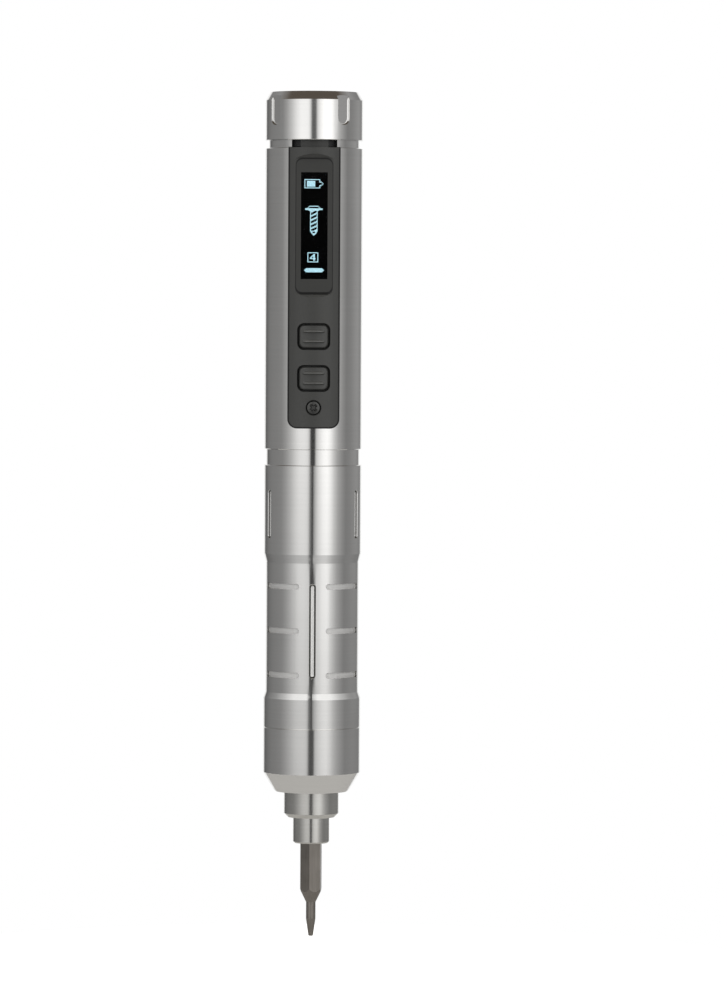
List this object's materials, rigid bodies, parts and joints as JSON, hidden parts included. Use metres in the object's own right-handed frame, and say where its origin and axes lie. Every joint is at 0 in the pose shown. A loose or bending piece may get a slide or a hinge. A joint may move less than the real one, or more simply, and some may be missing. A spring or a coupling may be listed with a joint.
{
  "type": "electric torque screwdriver",
  "caption": "Pen-shaped electric torque screwdriver in satin aluminium with a display panel, two buttons, a geared motor inside and a magnetic hexagon spindle for small bits.",
  "frame": {"origin": "on the tool's axis, in the middle of the plain barrel of the lower body, where a hand or a clamp holds it", "axes": "+Z along the axis from the bit to the tail, -Y out of the control panel"},
  "size_m": [0.0196, 0.0195, 0.1692],
  "materials": {
    "satin_aluminium": "turned, fine satin, clear anodised",
    "turned_steel": "turned, finely brushed round",
    "panel_plastic": "moulded, fine satin",
    "button_plastic": "moulded, fine satin",
    "window_glass": "smoked, polished",
    "display_black": "polished black panel",
    "black_screw_steel": "black oxide",
    "board_green": "solder mask",
    "chip_black": "moulded",
    "switch_metal": "stamped",
    "cell_wrap": "shrink sleeve",
    "nickel_strip": "rolled",
    "cradle_plastic": "moulded",
    "port_plastic": "moulded",
    "socket_shell": "drawn stainless shell",
    "motor_steel": "drawn",
    "ferrite_magnet": "sintered",
    "sintered_bronze": "sintered",
    "end_cap_plastic": "moulded",
    "brush_copper": "stamped",
    "lead_insulation": "extruded",
    "gearbox_steel": "sintered",
    "bearing_steel": "ground",
    "cage_brass": "stamped",
    "gasket_rubber": "moulded",
    "lamination_steel": "stacked laminations",
    "winding_copper": "enamelled wire",
    "gear_brass": "hobbed",
    "magnet_nickel": "nickel plated",
    "bit_steel": "tempered tool steel, ground"
  },
  "bodies": {
    "casing": {"lower_body": "satin_aluminium", "upper_body": "satin_aluminium", "coupling_ring": "satin_aluminium", "nose_cone": "satin_aluminium", "front_collar": "turned_steel", "control_panel": "panel_plastic", "display_window": "window_glass", "oled_display": "display_black", "panel_screw": "black_screw_steel", "control_board": "board_green", "board_chips": "chip_black", "tactile_switches": "switch_metal", "battery_cell": "cell_wrap", "battery_contacts": "nickel_strip", "battery_cradle": "cradle_plastic", "port_insert": "port_plastic", "usb_socket": "socket_shell", "charging_board": "board_green", "motor_can": "motor_steel", "motor_magnets": "ferrite_magnet", "motor_bushes": "sintered_bronze", "motor_end_cap": "end_cap_plastic", "motor_brushes": "brush_copper", "motor_leads": "lead_insulation", "gearbox_plate": "gearbox_steel", "gearbox_screws": "black_screw_steel", "ring_gear": "gearbox_steel", "bearing_outer_race": "bearing_steel", "bearing_circlip": "black_screw_steel"},
    "tail_gasket_carriage": {"tail_gasket": "gasket_rubber"},
    "tail_cap": {"tail_cap": "satin_aluminium"},
    "upper_button": {"upper_button": "button_plastic"},
    "lower_button": {"lower_button": "button_plastic"},
    "rotor": {"armature": "lamination_steel", "windings": "winding_copper", "commutator": "winding_copper", "motor_shaft": "bearing_steel", "motor_pinion": "gear_brass"},
    "first_stage": {"first_carrier": "gearbox_steel", "first_planet_pins": "bearing_steel", "second_sun": "gear_brass"},
    "spindle": {"spindle": "turned_steel", "output_carrier": "gearbox_steel", "second_planet_pins": "bearing_steel", "spindle_clip": "black_screw_steel", "bearing_inner_race": "bearing_steel", "socket_magnet": "magnet_nickel"},
    "ball_cage": {"bearing_cage": "cage_brass", "bearing_balls": "bearing_steel"},
    "driver_bit": {"driver_bit": "bit_steel"},
    "first_planet_1": {"first_planet_1": "gear_brass"},
    "first_planet_2": {"first_planet_2": "gear_brass"},
    "first_planet_3": {"first_planet_3": "gear_brass"},
    "second_planet_1": {"second_planet_1": "gear_brass"},
    "second_planet_2": {"second_planet_2": "gear_brass"},
    "second_planet_3": {"second_planet_3": "gear_brass"}
  },
  "joints": [
    {"name": "rotor_spin", "type": "hinge", "parent": "casing", "child": "rotor", "pos_m": [0, 0, -0.016], "axis": [0, 0, 1], "continuous": true},
    {"name": "first_stage_spin", "type": "hinge", "parent": "casing", "child": "first_stage", "pos_m": [0, 0, -0.033], "axis": [0, 0, 1], "continuous": true},
    {"name": "spindle_spin", "type": "hinge", "parent": "casing", "child": "spindle", "pos_m": [0, 0, -0.0535], "axis": [0, 0, 1], "continuous": true},
    {"name": "ball_cage_spin", "type": "hinge", "parent": "casing", "child": "ball_cage", "pos_m": [0, 0, -0.0534], "axis": [0, 0, 1], "continuous": true},
    {"name": "first_planet_1_spin", "type": "hinge", "parent": "first_stage", "child": "first_planet_1", "pos_m": [0.0045, 0, -0.0306], "axis": [0, 0, 1], "continuous": true},
    {"name": "first_planet_2_spin", "type": "hinge", "parent": "first_stage", "child": "first_planet_2", "pos_m": [-0.00225, 0.0039, -0.0306], "axis": [0, 0, 1], "continuous": true},
    {"name": "first_planet_3_spin", "type": "hinge", "parent": "first_stage", "child": "first_planet_3", "pos_m": [-0.00225, -0.0039, -0.0306], "axis": [0, 0, 1], "continuous": true},
    {"name": "second_planet_1_spin", "type": "hinge", "parent": "spindle", "child": "second_planet_1", "pos_m": [0.0045, 0, -0.0363], "axis": [0, 0, 1], "continuous": true},
    {"name": "second_planet_2_spin", "type": "hinge", "parent": "spindle", "child": "second_planet_2", "pos_m": [-0.00225, 0.0039, -0.0363], "axis": [0, 0, 1], "continuous": true},
    {"name": "second_planet_3_spin", "type": "hinge", "parent": "spindle", "child": "second_planet_3", "pos_m": [-0.00225, -0.0039, -0.0363], "axis": [0, 0, 1], "continuous": true},
    {"name": "bit_pull", "type": "slide", "parent": "spindle", "child": "driver_bit", "axis": [0, 0, -1], "range_m": [0, 0.01]},
    {"name": "upper_button_press", "type": "slide", "parent": "casing", "child": "upper_button", "axis": [0, 1, 0], "range_m": [0, 0.0003], "stiffness_N_per_m": 1000},
    {"name": "lower_button_press", "type": "slide", "parent": "casing", "child": "lower_button", "axis": [0, 1, 0], "range_m": [0, 0.0003], "stiffness_N_per_m": 1000},
    {"name": "tail_cap_lift", "type": "slide", "parent": "casing", "child": "tail_gasket_carriage", "axis": [0, 0, 1], "range_m": [0, 0.003]},
    {"name": "tail_cap_turn", "type": "hinge", "parent": "tail_gasket_carriage", "child": "tail_cap", "pos_m": [0, 0, 0.078], "axis": [0, 0, 1], "range_deg": [0, 1440]}
  ],
  "couplings": [
    {"joint": "first_stage_spin", "follows": "rotor_spin", "ratio": 0.2},
    {"joint": "spindle_spin", "follows": "rotor_spin", "ratio": 0.04},
    {"joint": "ball_cage_spin", "follows": "rotor_spin", "ratio": 0.016489},
    {"joint": "first_planet_1_spin", "follows": "rotor_spin", "ratio": -0.53333},
    {"joint": "first_planet_2_spin", "follows": "rotor_spin", "ratio": -0.53333},
    {"joint": "first_planet_3_spin", "follows": "rotor_spin", "ratio": -0.53333},
    {"joint": "second_planet_1_spin", "follows": "rotor_spin", "ratio": -0.10667},
    {"joint": "second_planet_2_spin", "follows": "rotor_spin", "ratio": -0.10667},
    {"joint": "second_planet_3_spin", "follows": "rotor_spin", "ratio": -0.10667},
    {"joint": "tail_cap_lift", "follows": "tail_cap_turn", "m_per_rad": 0.00011937}
  ]
}
